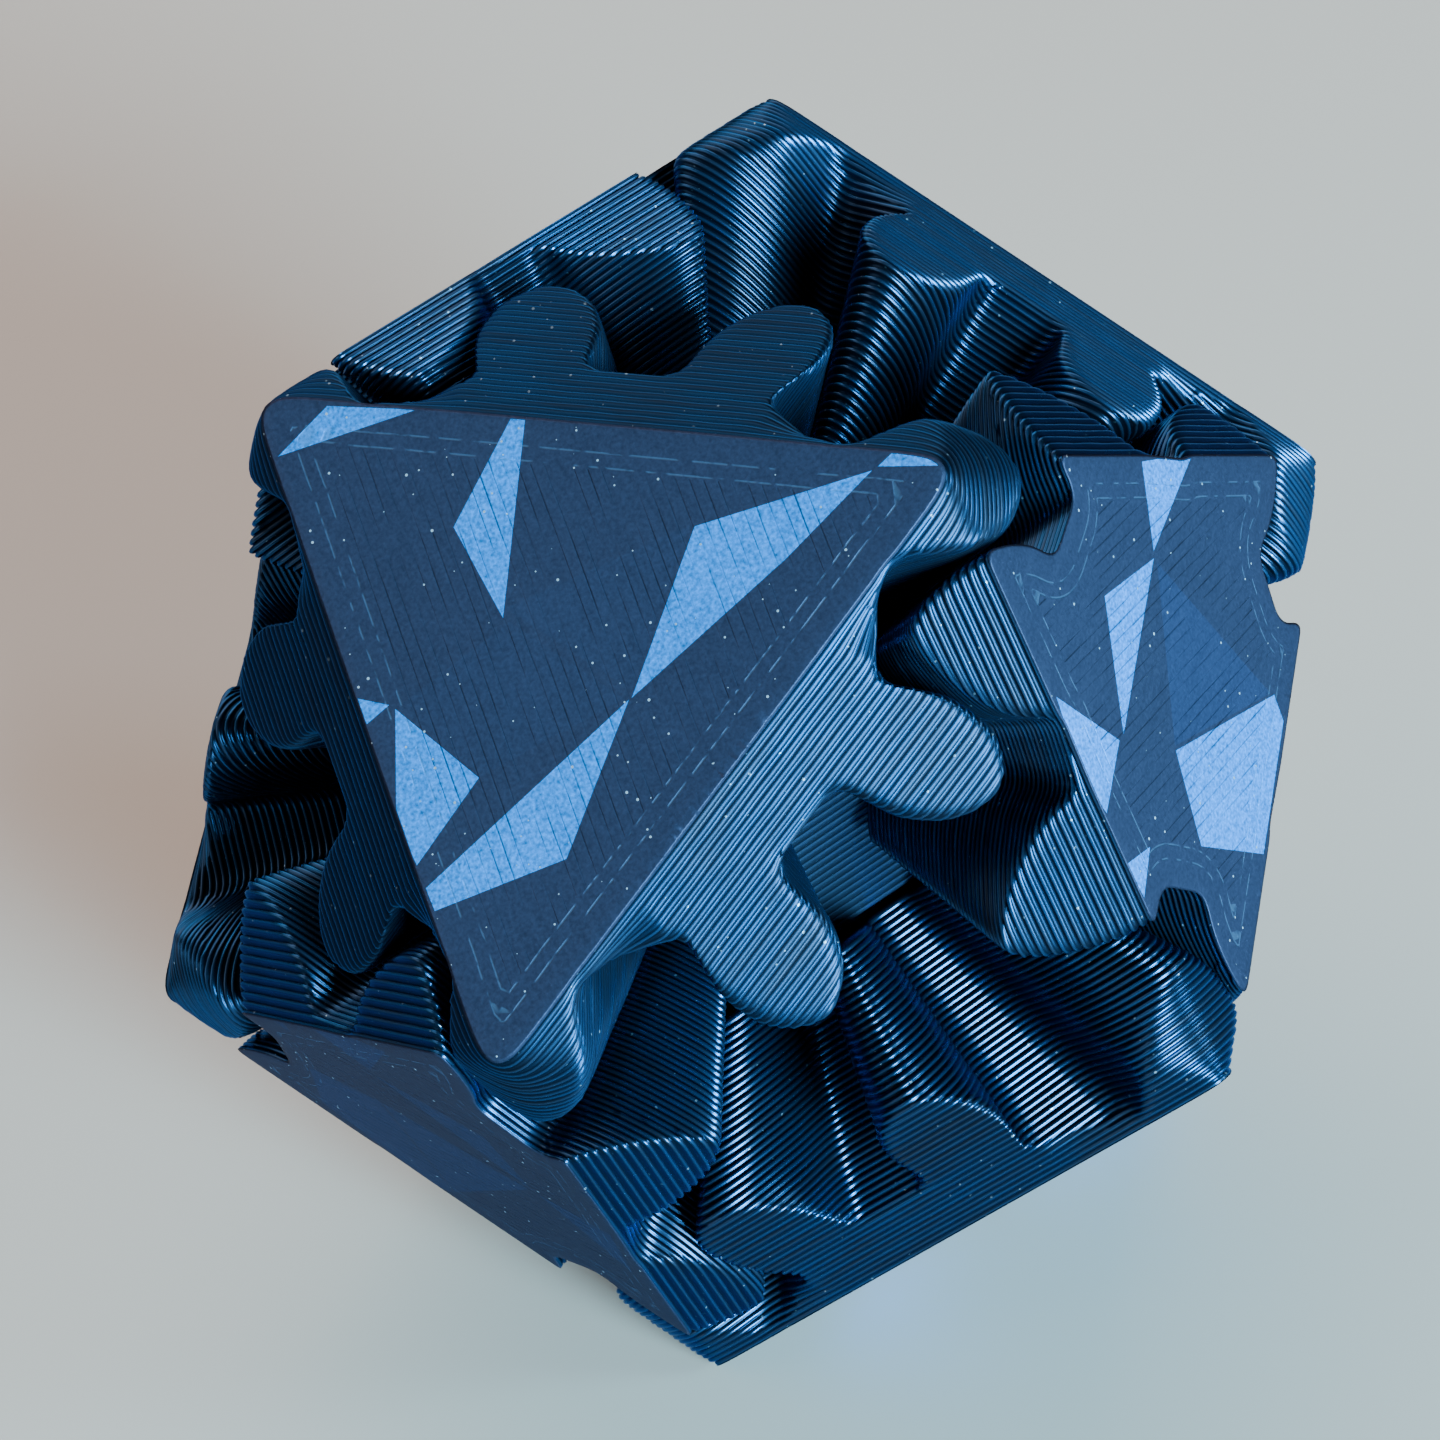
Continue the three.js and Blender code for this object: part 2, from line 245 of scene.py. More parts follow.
def fillInside(ring, loops, patches):
    # constrained Delaunay triangles inside a ring, with the edges of the loops and patches kept.
    # Gives the points, the triangles, and each triangle's tone by the patch that it lies in
    outlines = [ring] + loops + [np.array(shape, float) for shape, _ in patches]
    coords, edges = [], []
    for outline in outlines:
        first = len(coords)
        coords += [Vector((float(x), float(y))) for x, y in outline]
        edges += [(first + i, first + (i + 1) % len(outline)) for i in range(len(outline))]
    everyTriangle, mergeWithin = 0, 1e-5
    got = geometry.delaunay_2d_cdt(coords, edges, [], everyTriangle, mergeWithin)
    points = np.array([tuple(v) for v in got[0]])
    tris = np.array([f for f in got[2] if len(f) == 3])
    centre = points[tris].mean(1)
    keep = inPolygon(centre, ring)
    tris, centre = tris[keep], centre[keep]
    tone = np.zeros(len(tris), int)
    for shape, shade in patches:
        tone[inPolygon(centre, np.array(shape, float))] = shade
    first = points[tris[:, 1]] - points[tris[:, 0]]
    second = points[tris[:, 2]] - points[tris[:, 0]]
    turned = first[:, 0] * second[:, 1] - first[:, 1] * second[:, 0] < 0
    tris[turned] = tris[turned][:, ::-1]
    used, back = np.unique(tris, return_inverse=True)
    return points[used], back.reshape(tris.shape), tone


def gridFaces(rows, columns):
    # quads between neighbouring closed rings, facing out when rings go down and anticlockwise:
    # point c of ring r is number r * columns + c
    r = np.arange(rows - 1)[:, None]
    c = np.arange(columns)[None]
    a, b = r * columns + c, r * columns + (c + 1) % columns
    return np.stack([a, a + columns, b + columns, b], -1).reshape(-1, 4)


def buildMesh(name, verts, faces, tones, uvs, edge):
    # an object with each face's material number, the print's UV map, and each point's way in
    # from the rim. Points that lie on each other are merged, which closes the flat face
    mesh = bpy.data.meshes.new(name)
    mesh.from_pydata((verts * mm).tolist(), [], faces)
    mesh.polygons.foreach_set("material_index", np.array(tones, np.int32))
    mesh.polygons.foreach_set("use_smooth", np.ones(len(faces), bool))
    layer = mesh.uv_layers.new(name="print")
    loops = np.empty(len(mesh.loops), np.int32)
    mesh.loops.foreach_get("vertex_index", loops)
    layer.data.foreach_set("uv", uvs[loops].astype(np.float32).ravel())
    inset = mesh.attributes.new("inset", "FLOAT", "POINT")
    inset.data.foreach_set("value", edge.astype(np.float32))
    mesh.update()
    obj = bpy.data.objects.new(name, mesh)
    bm = bmesh.new()
    bm.from_mesh(mesh)
    bmesh.ops.remove_doubles(bm, verts=bm.verts, dist=mergeDistance * mm)
    bm.to_mesh(mesh)
    bm.free()
    bpy.context.collection.objects.link(obj)
    return obj


bedFace = {
    "loops": (0.42, 0.84, 1.26, 1.5),   # printed loops that follow the outline, in from the rim
    "bevel": 0.1,                       # how far in the face's edge starts to fall
    "drop": 0.02,                       # how far it falls
    "lineSpacing": 0.375,               # from one printed line to the next
    "uvShift": 100,                     # keeps the face's UV map clear of the wall's
}
bore = {"radius": 1.6, "pocketRadius": 2.0, "pocketFrom": 10.1, "end": 12.4, "poleRadius": 0.02}


def atHeight(outline, height):
    return np.column_stack([outline, np.full(len(outline), height)])


def gearPiece(name, gear, axis, patches, materials):
    # one closed skin of rings from the face's edge down the layered wall, in across the base and
    # up the pin's bore to a pole, then the flat face, filled with triangles
    basis = gearFrame(axis)
    normals = faceNormals() @ basis
    top, low = ball["faceDistance"], ball["innerEnd"]
    rim, edgeRing, *loops = (sections(gear, normals, np.array([top]), inset)[0]
                             for inset in (0.0, bedFace["bevel"], *bedFace["loops"]))
    loops = [loopAndGlint[::2] for loopAndGlint in loops]
    cap = np.array([atHeight(edgeRing, top), atHeight(rim, top - bedFace["drop"])])
    wall = layeredWall(gear, normals)
    columns = wall.shape[1]
    base = atHeight(wall[-1, :, :2], low)
    turn = np.arctan2(wall[-1, :, 1], wall[-1, :, 0])
    circle = np.column_stack([np.cos(turn), np.sin(turn)])
    boreSteps = [(bore["radius"], low), (bore["radius"], bore["pocketFrom"]),
                 (bore["pocketRadius"], bore["pocketFrom"]), (bore["pocketRadius"], bore["end"]),
                 (bore["poleRadius"], bore["end"])]
    hole = np.array([atHeight(circle * radius, height) for radius, height in boreSteps])
    rings = np.concatenate([cap, wall, base[None], hole])
    capPoints = len(cap) * columns

    # the wall's UV is the way round the gear and the height; the face's is its own x and y
    steps = np.linalg.norm(np.diff(wall[0, :, :2], axis=0), axis=1)
    wayRound = np.concatenate([[0], np.cumsum(steps)])
    uv = np.stack([np.broadcast_to(wayRound, rings.shape[:2]), rings[..., 2]], -1).reshape(-1, 2)
    verts = rings.reshape(-1, 3)
    uv[:capPoints] = verts[:capPoints, :2] + bedFace["uvShift"]

    fillPoints, tris, tone = fillInside(edgeRing, loops, patches)
    first = len(verts)
    poleNumber = first + len(fillPoints)
    pole = np.array([[0, 0, bore["end"]]])
    verts = np.concatenate([verts, atHeight(fillPoints, top), pole])
    uv = np.concatenate([uv, fillPoints + bedFace["uvShift"], pole[:, :2]])
    lastRing = (len(rings) - 1) * columns + np.arange(columns)
    poleFaces = np.column_stack([lastRing, np.full(columns, poleNumber), np.roll(lastRing, -1)])

    ringFaces = gridFaces(len(rings), columns)
    ringTones = np.zeros(len(ringFaces), int)
    ringTones[:(len(cap) - 1) * columns] = 1
    faces = ringFaces.tolist() + (tris + first).tolist() + poleFaces.tolist()
    tones = np.concatenate([ringTones, tone + 1, np.zeros(columns, int)])
    edge = np.zeros(len(verts))
    edge[first:poleNumber] = np.minimum(distanceTo(fillPoints, rim), bedFace["loops"][-1])
    obj = buildMesh(name, verts @ basis.T, faces, tones, uv, edge)
    for material in materials:
        obj.data.materials.append(material)
    print(name, len(obj.data.polygons), "faces")
    return obj


def group(name, inputs, outputs):
    # an empty shader group with named sockets: (name, kind, value)
    tree = bpy.data.node_groups.new(name, "ShaderNodeTree")
    for label, kind, value in inputs:
        socket = tree.interface.new_socket(name=label, in_out="INPUT", socket_type=kind)
        if value is not None:
            socket.default_value = value
    for label, kind in outputs:
        tree.interface.new_socket(name=label, in_out="OUTPUT", socket_type=kind)
    return tree, tree.nodes.new("NodeGroupInput"), tree.nodes.new("NodeGroupOutput")


def add(tree, kind, settings=None, **sockets):
    # one node. A socket is given by its name, or by i and its number, and gets a value or a link
    node = tree.nodes.new(kind)
    for key, value in (settings or {}).items():
        setattr(node, key, value)
    for key, value in sockets.items():
        numbered = key[0] == "i" and key[1:].isdigit()
        socket = node.inputs[int(key[1:]) if numbered else key]
        if isinstance(value, bpy.types.NodeSocket):
            tree.links.new(value, socket)
        else:
            socket.default_value = value
    return node


def calc(tree, operation, a, b=0.0, c=0.0):
    return add(tree, "ShaderNodeMath", {"operation": operation}, i0=a, i1=b, i2=c).outputs[0]


def band(tree, value, low, high):
    # 0 below low, 1 above high, smooth between; low above high turns it round
    kind = {"interpolation_type": "SMOOTHSTEP"}
    return add(tree, "ShaderNodeMapRange", kind, i0=value, i1=low, i2=high).outputs[0]


def fromMiddle(tree, value):
    # how far the value is from the middle of its unit step: |fract(value) - 1/2|
    return calc(tree, "ABSOLUTE", calc(tree, "SUBTRACT", calc(tree, "FRACT", value), 0.5))


def mixColour(tree, amount, a, b, blend="MIX"):
    kind = {"data_type": "RGBA", "blend_type": blend}
    return add(tree, "ShaderNodeMix", kind, i0=amount, i6=a, i7=b).outputs[2]


def noise(tree, vector, scale, detail):
    return add(tree, "ShaderNodeTexNoise", Vector=vector, Scale=scale, Detail=detail).outputs[0]


def makeSpecks():
    # pale dust: a round spot in some cells of a jittered grid. Mask = 1 where the way to the
    # cell's own point is less than size * (a random number + leastSize)
    leastSize = 0.3
    tree, inside, outside = group("dustSpecks", [
        ("Vector", "NodeSocketVector", None), ("Cells", "NodeSocketFloat", 1.0),
        ("Share", "NodeSocketFloat", 0.2), ("Size", "NodeSocketFloat", 0.1)],
        [("Mask", "NodeSocketFloat")])
    given = inside.outputs
    cells = add(tree, "ShaderNodeTexVoronoi", Vector=given["Vector"], Scale=given["Cells"])
    random = add(tree, "ShaderNodeSeparateColor", i0=cells.outputs["Color"]).outputs
    chosen = calc(tree, "LESS_THAN", random[0], given["Share"])
    size = calc(tree, "MULTIPLY", given["Size"], calc(tree, "ADD", random[1], leastSize))
    near = calc(tree, "LESS_THAN", cells.outputs["Distance"], size)
    tree.links.new(calc(tree, "MULTIPLY", chosen, near), outside.inputs["Mask"])
    return tree


filament = {
    "streakScale": (0.35, 5.0, 1.0),   # slow along a layer, quick from one layer to the next
    "blotchScale": 260.0,              # waves to a metre, and so is the grain's
    "grainScale": 9000.0,
    "streakShare": 0.65, "blotchShare": 0.35,
}


def makeFilament():
    # how the plastic changes from place to place. Drift = streaks along the layers plus slow
    # blotches; Grain is the finest unevenness
    tree, inside, outside = group("filamentDrift", [
        ("Print", "NodeSocketVector", None), ("Place", "NodeSocketVector", None)],
        [("Drift", "NodeSocketFloat"), ("Grain", "NodeSocketFloat")])
    stretch = add(tree, "ShaderNodeMapping", i0=inside.outputs["Print"])
    stretch.inputs["Scale"].default_value = filament["streakScale"]
    streaks = noise(tree, stretch.outputs[0], 1.0, 3.0)
    blotches = noise(tree, inside.outputs["Place"], filament["blotchScale"], 2.0)
    grain = noise(tree, inside.outputs["Place"], filament["grainScale"], 2.0)
    slow = calc(tree, "MULTIPLY", blotches, filament["blotchShare"])
    drift = calc(tree, "MULTIPLY_ADD", streaks, filament["streakShare"], slow)
    tree.links.new(drift, outside.inputs["Drift"])
    tree.links.new(grain, outside.inputs["Grain"])
    return tree


# Each pair is where a smooth step starts and ends; linesStart, loopsStart and loopsEnd are
# millimetres in from the rim.
faceLines = {
    "shadedGroove": (0.4, 0.49),        # shares of the lines' spacing, from the middle of a line, where the groove with its painted shade lies
    "alongScale": 0.35,           # how quickly a groove's depth changes along it
    "apartScale": 3.7,            # far enough for neighbouring grooves to differ
    "deepNoise": (0.4, 0.62),
    "linesStart": (1.3, 1.36),
    "loopSpacing": 0.42,
    "loopLine": (0.4, 0.48),      # shares of the loops' spacing, from the middle of a loop
    "loopsStart": (0.6, 0.7),
    "loopsEnd": (1.45, 1.4),
    "breakScale": 2.2,            # how quickly a loop breaks off and starts again
    "breakNoise": (0.42, 0.55),
}


def makeBedLines():
    # the flat face's print lines. Line = 1 in a groove between two straight lines, where that groove
    # is deep, and places the groove's bump and its painted shade; Loop = 1 between two loops that
    # follow the outline, where it isn't broken, and places their bump and their painted glint
    tree, inside, outside = group("bedLines", [
        ("Print", "NodeSocketVector", None), ("Inset", "NodeSocketFloat", 0.0),
        ("Turn", "NodeSocketFloat", 0.0), ("Spacing", "NodeSocketFloat", bedFace["lineSpacing"])],
        [("Line", "NodeSocketFloat"), ("Loop", "NodeSocketFloat")])
    given, values = inside.outputs, faceLines
    turned = add(tree, "ShaderNodeVectorRotate", {"rotation_type": "Z_AXIS"},
                 Vector=given["Print"], Angle=given["Turn"])
    x, y = add(tree, "ShaderNodeSeparateXYZ", i0=turned.outputs[0]).outputs[:2]
    count = calc(tree, "DIVIDE", y, given["Spacing"])
    shadedGroove = band(tree, fromMiddle(tree, count), *values["shadedGroove"])
    place = add(tree, "ShaderNodeCombineXYZ",
                i0=calc(tree, "MULTIPLY", x, values["alongScale"]),
                i1=calc(tree, "MULTIPLY", calc(tree, "FLOOR", count), values["apartScale"]))
    deep = band(tree, noise(tree, place.outputs[0], 1.0, 2.0), *values["deepNoise"])
    inner = band(tree, given["Inset"], *values["linesStart"])
    line = calc(tree, "MULTIPLY", calc(tree, "MULTIPLY", shadedGroove, deep), inner)

    rings = fromMiddle(tree, calc(tree, "DIVIDE", given["Inset"], values["loopSpacing"]))
    outer = calc(tree, "MULTIPLY", band(tree, given["Inset"], *values["loopsStart"]),
                 band(tree, given["Inset"], *values["loopsEnd"]))
    whole = band(tree, noise(tree, given["Print"], values["breakScale"], 1.0), *values["breakNoise"])
    loopAndGlint = calc(tree, "MULTIPLY", band(tree, rings, *values["loopLine"]), outer)
    tree.links.new(line, outside.inputs["Line"])
    tree.links.new(calc(tree, "MULTIPLY", loopAndGlint, whole), outside.inputs["Loop"])
    return tree


dustSpecks, filamentDrift, bedLines = makeSpecks(), makeFilament(), makeBedLines()
print("shader groups made")


def startMaterial(name):
    material = bpy.data.materials.new(name)
    material.use_nodes = True
    tree = material.node_tree
    return material, tree, tree.nodes["Principled BSDF"]


def useGroup(tree, made, **sockets):
    return add(tree, "ShaderNodeGroup", {"node_tree": made}, **sockets)


def connect(tree, shader, sockets):
    # sets or links the shader's sockets by name
    for name, value in sockets.items():
        if isinstance(value, bpy.types.NodeSocket):
            tree.links.new(value, shader.inputs[name])
        else:
            shader.inputs[name].default_value = value


pearl = {
    "deep": (0.021, 0.037, 0.07, 1), "pale": (0.01, 0.052, 0.145, 1),
    "tones": (0.3, 0.7),              # the drift that gives the deep and the pale tone
    # painted shade: the gap between two layers is darkened towards this near-black tone
    "layerGapShadeColour": (0.001, 0.002, 0.005, 1),
    "layerGapShade": 0.8,                    # how far the gap between two layers takes that painted shade tone
    "layerGapShadeAt": (0.14, 0.4),          # where the painted shade lies: the gap, as shares of a layer from its middle
    "dust": (0.2, 0.32, 0.45, 1),
    "specks": {"Cells": 3300.0, "Share": 0.4, "Size": 0.12},
    "metallic": 0.88,
    "roughness": (0.24, 0.32),        # of the pale and of the deep tone
    "specular": 0.12, "edgeTint": (0.25, 0.5, 0.95, 1),
    "grain": {"Strength": 0.04, "Distance": 0.00002},
}


def pearlMaterial():
    # layered sides: metallic pearl plastic whose tone drifts from layer to layer, with painted shade
    # in the gap between two layers
    material, tree, shader = startMaterial("layeredPearl")
    place = add(tree, "ShaderNodeTexCoord").outputs
    drift = useGroup(tree, filamentDrift, Print=place["UV"], Place=place["Object"]).outputs
    specks = useGroup(tree, dustSpecks, Vector=place["Object"], **pearl["specks"])
    low, high = pearl["tones"]
    tone = mixColour(tree, band(tree, drift["Drift"], low, high), pearl["deep"], pearl["pale"])
    tone = mixColour(tree, specks.outputs["Mask"], tone, pearl["dust"])
    # painted shade: the gap between two layers is darkened, on top of the wall's real grooves
    height = add(tree, "ShaderNodeSeparateXYZ", i0=place["UV"]).outputs[1]
    inLayer = fromMiddle(tree, calc(tree, "DIVIDE", height, layers["height"]))
    layerGapShade = calc(tree, "MULTIPLY", band(tree, inLayer, *pearl["layerGapShadeAt"]), pearl["layerGapShade"])
    tone = mixColour(tree, layerGapShade, tone, pearl["layerGapShadeColour"])
    smooth, rough = pearl["roughness"]
    dull = add(tree, "ShaderNodeMapRange", i0=drift["Drift"], i1=low, i2=high, i3=rough, i4=smooth)
    bump = add(tree, "ShaderNodeBump", Height=drift["Grain"], **pearl["grain"])
    connect(tree, shader, {
        "Base Color": tone, "Roughness": dull.outputs[0], "Normal": bump.outputs[0],
        "Metallic": pearl["metallic"], "Specular Tint": pearl["edgeTint"],
        "Specular IOR Level": pearl["specular"]})
    return material


# Values in threes are for the plain face and for its pale and its bright patches; the bright
# patches' tone is partly a painted sheen, the light they reflect.
bed = {
    # painted sheen: the bright patches' colour is far lighter than the plain face's, standing in for
    # reflected light on the real patches
    "plain": (0.018, 0.0257, 0.0545, 1), "brightSheen": (0.0, 0.19, 0.64, 1),
    "pale": {"nineFace": (0.018, 0.027, 0.0585, 1), "sixFace": (0.0178, 0.0305, 0.0745, 1)},
    # painted shade: the grooves between print lines are darkened towards the groove colour, as far
    # as the line depth says
    "shadedGroove": (0.003, 0.006, 0.012, 1), "grooveShadeStrength": (0.65, 0.7, 0.85),
    # painted glint: the printed loops are lightened towards the loop colour
    "loopAndGlint": (0.06, 0.14, 0.26, 1), "loopGlintShare": 0.3,
    "dust": (0.24, 0.34, 0.45, 1),
    "specks": {"Cells": 3300.0, "Share": 0.3, "Size": 0.12},
    "leastShade": 0.75, "driftShade": 0.5,    # the tone is shaded by the first + the second * drift
    "speckle": (0.9, 0.9, 1.9),               # and by this much of the grain, up and down
    "roughness": (0.46, 0.47, 0.5), "metallic": (0.6, 0.6, 0.7),
    "specular": 0.05, "edgeTint": (0.08, 0.16, 0.34, 1),
    "grainHeight": 0.6, "bump": {"Strength": 0.5, "Distance": 0.00003},
}


def bedMaterial(name, tint, kind, turn):
    # the flat printed face: tone by patch, print lines a thread apart with painted shade in their
    # grooves, loops near the outline with a painted glint
    material, tree, shader = startMaterial(name)
    place = add(tree, "ShaderNodeTexCoord").outputs
    inset = add(tree, "ShaderNodeAttribute", {"attribute_name": "inset"})
    lines = useGroup(tree, bedLines, Print=place["UV"], Inset=inset.outputs["Fac"],
                     Turn=math.radians(turn), Spacing=bedFace["lineSpacing"]).outputs
    drift = useGroup(tree, filamentDrift, Print=place["UV"], Place=place["Object"]).outputs
    specks = useGroup(tree, dustSpecks, Vector=place["Object"], **bed["specks"])

    grain = calc(tree, "SUBTRACT", drift["Grain"], 0.5)
    grain = calc(tree, "MULTIPLY", grain, bed["speckle"][kind])
    shade = calc(tree, "MULTIPLY", drift["Drift"], bed["driftShade"])
    shade = calc(tree, "ADD", shade, calc(tree, "ADD", grain, bed["leastShade"]))
    grey = add(tree, "ShaderNodeCombineColor", i0=shade, i1=shade, i2=shade)
    colour = mixColour(tree, 1.0, tint, grey.outputs[0], "MULTIPLY")
    # painted shade in the grooves between print lines
    dark = calc(tree, "MULTIPLY", lines["Line"], bed["grooveShadeStrength"][kind])
    colour = mixColour(tree, dark, colour, bed["shadedGroove"])
    # painted glint: the printed loops near the outline are lightened towards the loop colour
    light = calc(tree, "MULTIPLY", lines["Loop"], bed["loopGlintShare"])
    colour = mixColour(tree, light, colour, bed["loopAndGlint"])
    colour = mixColour(tree, specks.outputs["Mask"], colour, bed["dust"])

    rise = calc(tree, "MULTIPLY", drift["Grain"], bed["grainHeight"])
    rise = calc(tree, "MULTIPLY_ADD", lines["Line"], -1.0, rise)
    rise = calc(tree, "SUBTRACT", rise, lines["Loop"])
    bump = add(tree, "ShaderNodeBump", Height=rise, **bed["bump"])
    connect(tree, shader, {
        "Base Color": colour, "Normal": bump.outputs[0], "Roughness": bed["roughness"][kind],
        "Metallic": bed["metallic"][kind], "Specular Tint": bed["edgeTint"],
        "Specular IOR Level": bed["specular"]})
    return material


def bedMaterials(name, turn):
    tints = {"plain": bed["plain"], "pale": bed["pale"][name], "brightSheen": bed["brightSheen"]}
    return [bedMaterial(f"{name}_{tone}", tint, kind, turn)
            for kind, (tone, tint) in enumerate(tints.items())]


core = {
    "dark": (0.008, 0.016, 0.034, 1), "light": (0.013, 0.027, 0.056, 1),
    "metallic": 0.7, "roughness": 0.36,
    "layers": {"Strength": 1.0, "Distance": 0.00006},
}


def coreFinish():
    # the core: darker, less glossy plastic, its layers square to one cube diagonal. A layer's
    # bump is half a circle: height = sqrt(1.001 - (2 * fract(count) - 1)^2)
    material, tree, shader = startMaterial("corePlastic")
    place = add(tree, "ShaderNodeTexCoord").outputs
    along = add(tree, "ShaderNodeVectorMath", {"operation": "DOT_PRODUCT"},
                i0=place["Object"], i1=tuple(frame["joints"][0]["axis"]))
    count = calc(tree, "DIVIDE", along.outputs["Value"], layers["height"] * mm)
    across = calc(tree, "MULTIPLY", calc(tree, "FRACT", count), 2.0)
    across = calc(tree, "SUBTRACT", across, 1.0)
    square = calc(tree, "MULTIPLY", across, across)
    bead = calc(tree, "SQRT", calc(tree, "SUBTRACT", 1.001, square))
    bump = add(tree, "ShaderNodeBump", Height=bead, **core["layers"])
    drift = useGroup(tree, filamentDrift, Print=place["Object"], Place=place["Object"])
    tone = mixColour(tree, drift.outputs["Drift"], core["dark"], core["light"])
    connect(tree, shader, {
        "Base Color": tone, "Normal": bump.outputs[0], "Roughness": core["roughness"],
        "Metallic": core["metallic"], "Specular Tint": pearl["edgeTint"]})
    return material


# Patches that the print bed leaves on the flat faces, in millimetres on the face: 1 is pale and
# 2 is bright, a tone that is partly a painted sheen.
ninePatches = [
    ([(-4.4, 7.0), (-5.3, 3.0), (-2.5, -0.8), (-3.7, 6.9)], 2),
    ([(-3.0, 6.8), (-1.9, 4.0), (1.2, 5.1), (-1.6, 6.7)], 2),
    ([(1.3, 6.1), (1.4, 5.2), (2.2, 6.0)], 2),
    ([(1.6, 1.1), (6.2, -2.4), (6.4, -2.0), (4.7, 1.0)], 2),
    ([(9.6, 4.4), (8.3, 0.2), (10.0, 2.4)], 2),
    ([(-2.5, -0.9), (-1.7, -6.6), (-1.0, -9.9), (0.6, -4.9)], 2),
    ([(-1.0, -10.1), (-2.1, -11.7), (-1.8, -11.8), (-0.9, -10.7)], 2),
    ([(-1.9, 3.9), (-2.4, -0.7), (1.4, 1.0), (1.2, 5.0)], 1),
    ([(1.8, 0.9), (-2.3, -1.0), (0.7, -4.8)], 1),
]
sixPatches = [
    ([(-4.7, 4.7), (-5.9, 2.6), (-6.1, 1.1), (-3.8, 1.5)], 2),
    ([(-0.5, 4.0), (-3.5, 1.4), (2.2, 2.4)], 2),
    ([(2.4, 2.5), (6.5, 2.1), (4.4, 4.2)], 2),
    ([(-2.2, -1.1), (-3.9, -3.5), (-2.0, -6.5), (2.4, -5.7), (2.8, -4.9)], 2),
    ([(-6.8, -0.4), (-7.1, -1.6), (-5.6, -1.2)], 2),
    ([(2.2, 2.2), (-2.1, -1.0), (2.7, -4.7)], 1),
]


def turnedPatches(patches, turn, shift):
    # the same pattern seen another way round: each point turned about the gear's axis, then
    # moved by shift, -shift
    c, s = math.cos(math.radians(turn)), math.sin(math.radians(turn))
    return [([(c * x - s * y + shift, s * x + c * y - shift) for x, y in shape], tone)
            for shape, tone in patches]


# Each kind of gear, the way its face's lines run, and each gear's turn of the patches.
gearKinds = {
    "nine_tooth": {"sizes": nineTooth, "face": "nineFace", "lines": 10.4,
                   "patches": ninePatches, "turns": (0, 125, 235, 78)},
    "six_tooth": {"sizes": sixTooth, "face": "sixFace", "lines": 25.5,
                  "patches": sixPatches, "turns": (0, 110, 200, 290)},
}
patchShift = 0.2                      # further for each gear after the first
shadedFaces = ("six_tooth_gear_2",)     # painted shade: this face lies in shade, so its patches are all pale ones
wallMaterial = pearlMaterial()
axisOf = {joint["child"]: joint["axis"] for joint in frame["joints"]}

for kind, made in gearKinds.items():
    materials = [wallMaterial] + bedMaterials(made["face"], made["lines"])
    for number, turn in enumerate(made["turns"], 1):
        body = f"{kind}_{number}"
        node = f"{kind}_gear_{number}"
        patches = turnedPatches(made["patches"], turn, patchShift * (number - 1))
        # painted shade: on a face in shade the bright patches take the pale tone
        if node in shadedFaces:
            patches = [(shape, 1) for shape, _ in patches]
        piece = gearPiece(f"{kind}_layers_{number}", made["sizes"], axisOf[body], patches, materials)
        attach(piece, body)
        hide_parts(node)

coreMaterial = coreFinish()
for name, node in frame["nodes"].items():
    if name == "core_block" or name.startswith("snap_pin"):
        for slot in node.material_slots:
            slot.material = coreMaterial
print("core and pins finished")

# Camera: degrees, and millimetres from the ball's centre. Lens and sensor are in millimetres.
camera = {"azimuth": -7.43, "elevation": 37.3, "distance": 134.53, "roll": -8.95,
          "aim": (-0.46, 0.37, 0.41), "lens": 107.35, "sensor": 36.0, "nearest": 5.0}


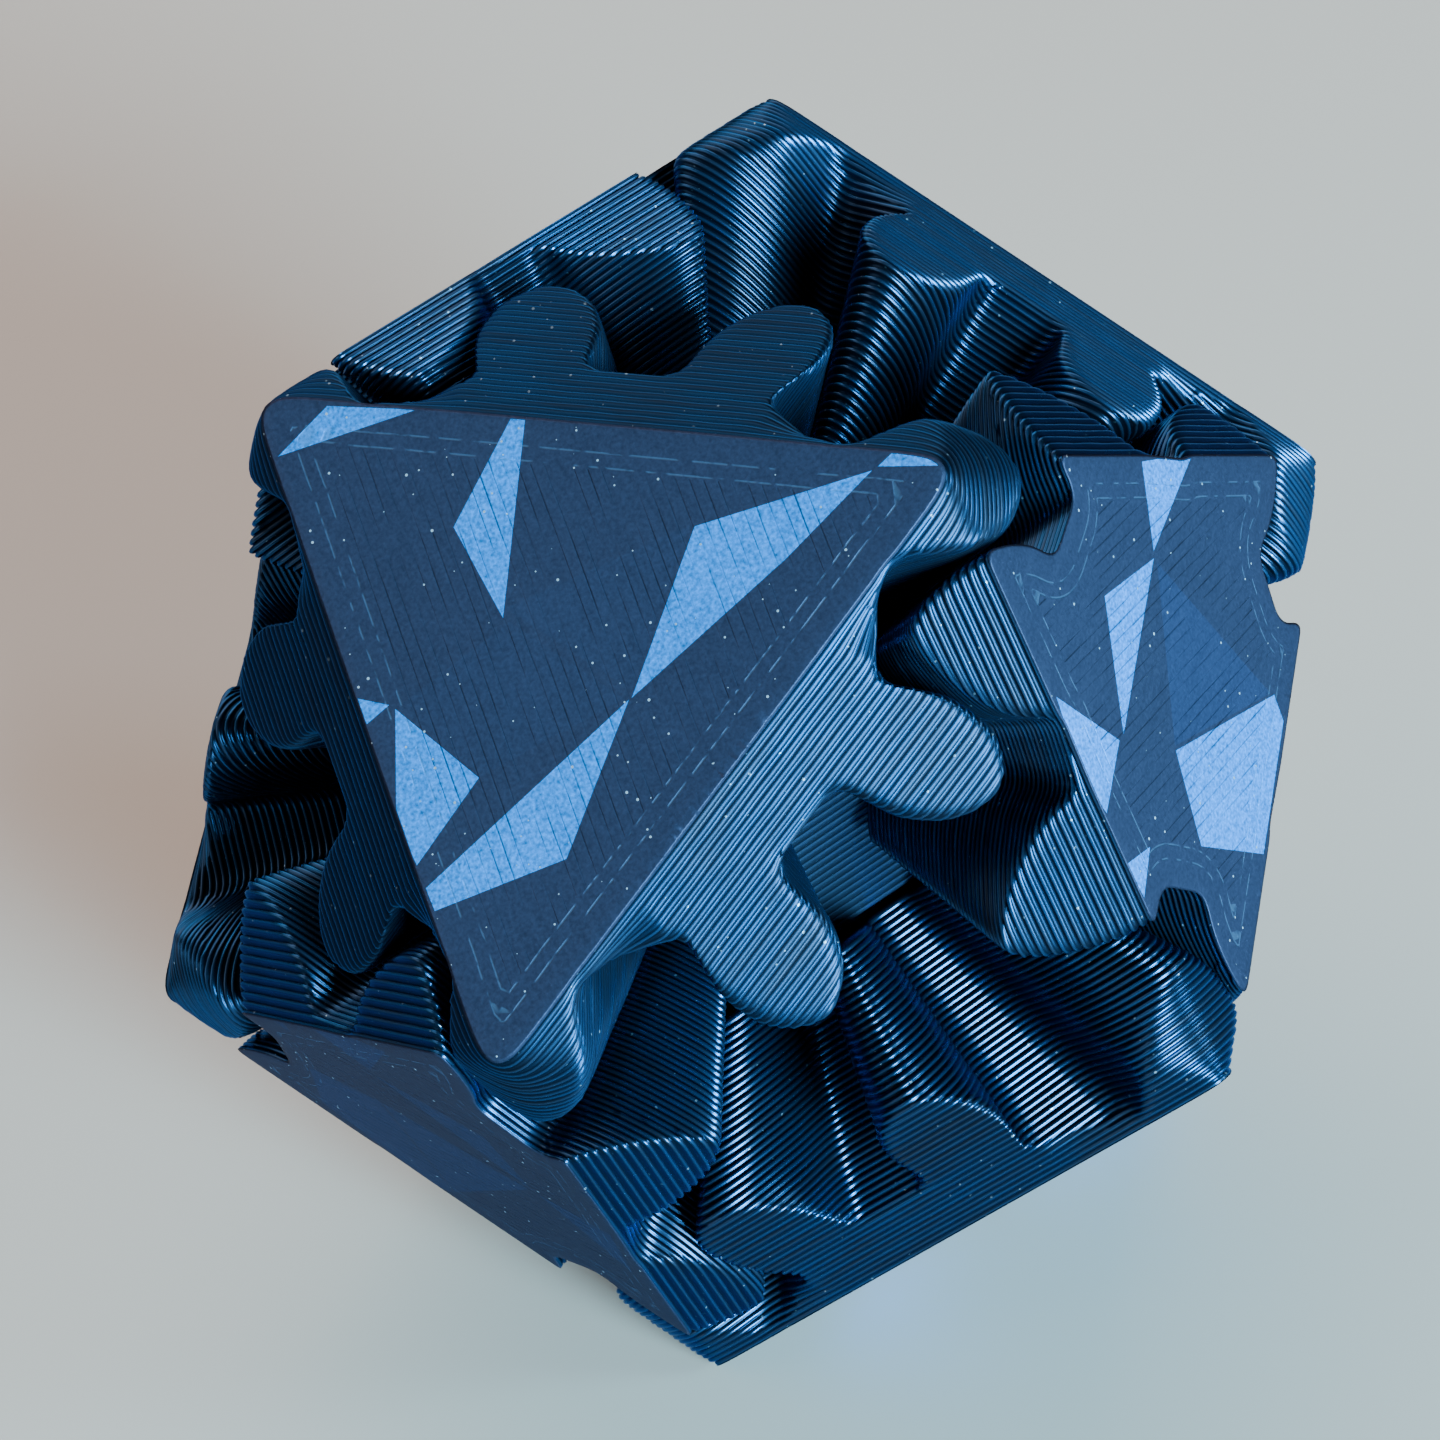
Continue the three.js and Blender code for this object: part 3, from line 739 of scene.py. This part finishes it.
def addCamera():
    # back runs from the aim to the camera; level and up are square to it and turn by the roll
    az, el, roll = (math.radians(camera[k]) for k in ("azimuth", "elevation", "roll"))
    back = Vector((math.sin(az) * math.cos(el), -math.cos(az) * math.cos(el), math.sin(el)))
    level = Vector((math.cos(az), math.sin(az), 0))
    up = back.cross(level)
    right = level * math.cos(roll) + up * math.sin(roll)
    data = bpy.data.cameras.new("camera")
    data.lens = camera["lens"]
    data.sensor_width = camera["sensor"]
    data.clip_start = camera["nearest"] * mm
    obj = bpy.data.objects.new("camera", data)
    place = Matrix((right, back.cross(right), back)).transposed().to_4x4()
    place.translation = (Vector(camera["aim"]) + back * camera["distance"]) * mm
    obj.matrix_world = place
    bpy.context.collection.objects.link(obj)
    bpy.context.scene.camera = obj


# Soft lights, each turned to the ball: metres and watts.
lights = {
    "window": {"spot": (0.165, -0.46, 0.1), "size": (0.18, 0.28), "power": 22.0,
               "colour": (0.44, 0.84, 1.0)},
    "rightWindow": {"spot": (0.44, -0.2, 0.16), "size": (0.12, 0.16), "power": 2.7,
                    "colour": (0.44, 0.84, 1.0)},
    "overhead": {"spot": (0.0, 0.8, 0.7), "size": (1.4, 0.9), "power": 18.0,
                 "colour": (1.0, 0.78, 0.66)},
    "leftFill": {"spot": (-0.55, 0.1, 0.28), "size": (0.6, 0.5), "power": 2.2,
                 "colour": (1.0, 0.78, 0.66)},
}
surround = {"Color": (1.0, 0.76, 0.62, 1), "Strength": 0.17}


def addLight(name, spot, size, power, colour):
    data = bpy.data.lights.new(name, "AREA")
    data.shape = "RECTANGLE"
    data.size, data.size_y = size
    data.energy = power
    data.color = colour
    obj = bpy.data.objects.new(name, data)
    obj.location = spot
    obj.rotation_euler = (-Vector(spot)).to_track_quat("-Z", "Y").to_euler()
    bpy.context.collection.objects.link(obj)


addCamera()
for name, values in lights.items():
    addLight(name, **values)
world = bpy.data.worlds.new("studio")
world.use_nodes = True
for name, value in surround.items():
    world.node_tree.nodes["Background"].inputs[name].default_value = value
bpy.context.scene.world = world
print("camera and lights placed")

floorLook = {"size": 3.0, "colour": (0.36, 0.335, 0.32, 1), "roughness": 0.7}


def makeFloor():
    # a plain square, level with the ball's lowest face, facing up
    half, low = floorLook["size"] / 2, -ball["faceDistance"] * mm
    corners = [(-half, -half, low), (half, -half, low), (half, half, low), (-half, half, low)]
    mesh = bpy.data.meshes.new("floor")
    mesh.from_pydata(corners, [], [(0, 1, 2, 3)])
    material, tree, shader = startMaterial("paleFloor")
    connect(tree, shader, {"Base Color": floorLook["colour"], "Roughness": floorLook["roughness"]})
    mesh.materials.append(material)
    obj = bpy.data.objects.new("floor", mesh)
    bpy.context.collection.objects.link(obj)
    return obj


floor = makeFloor()
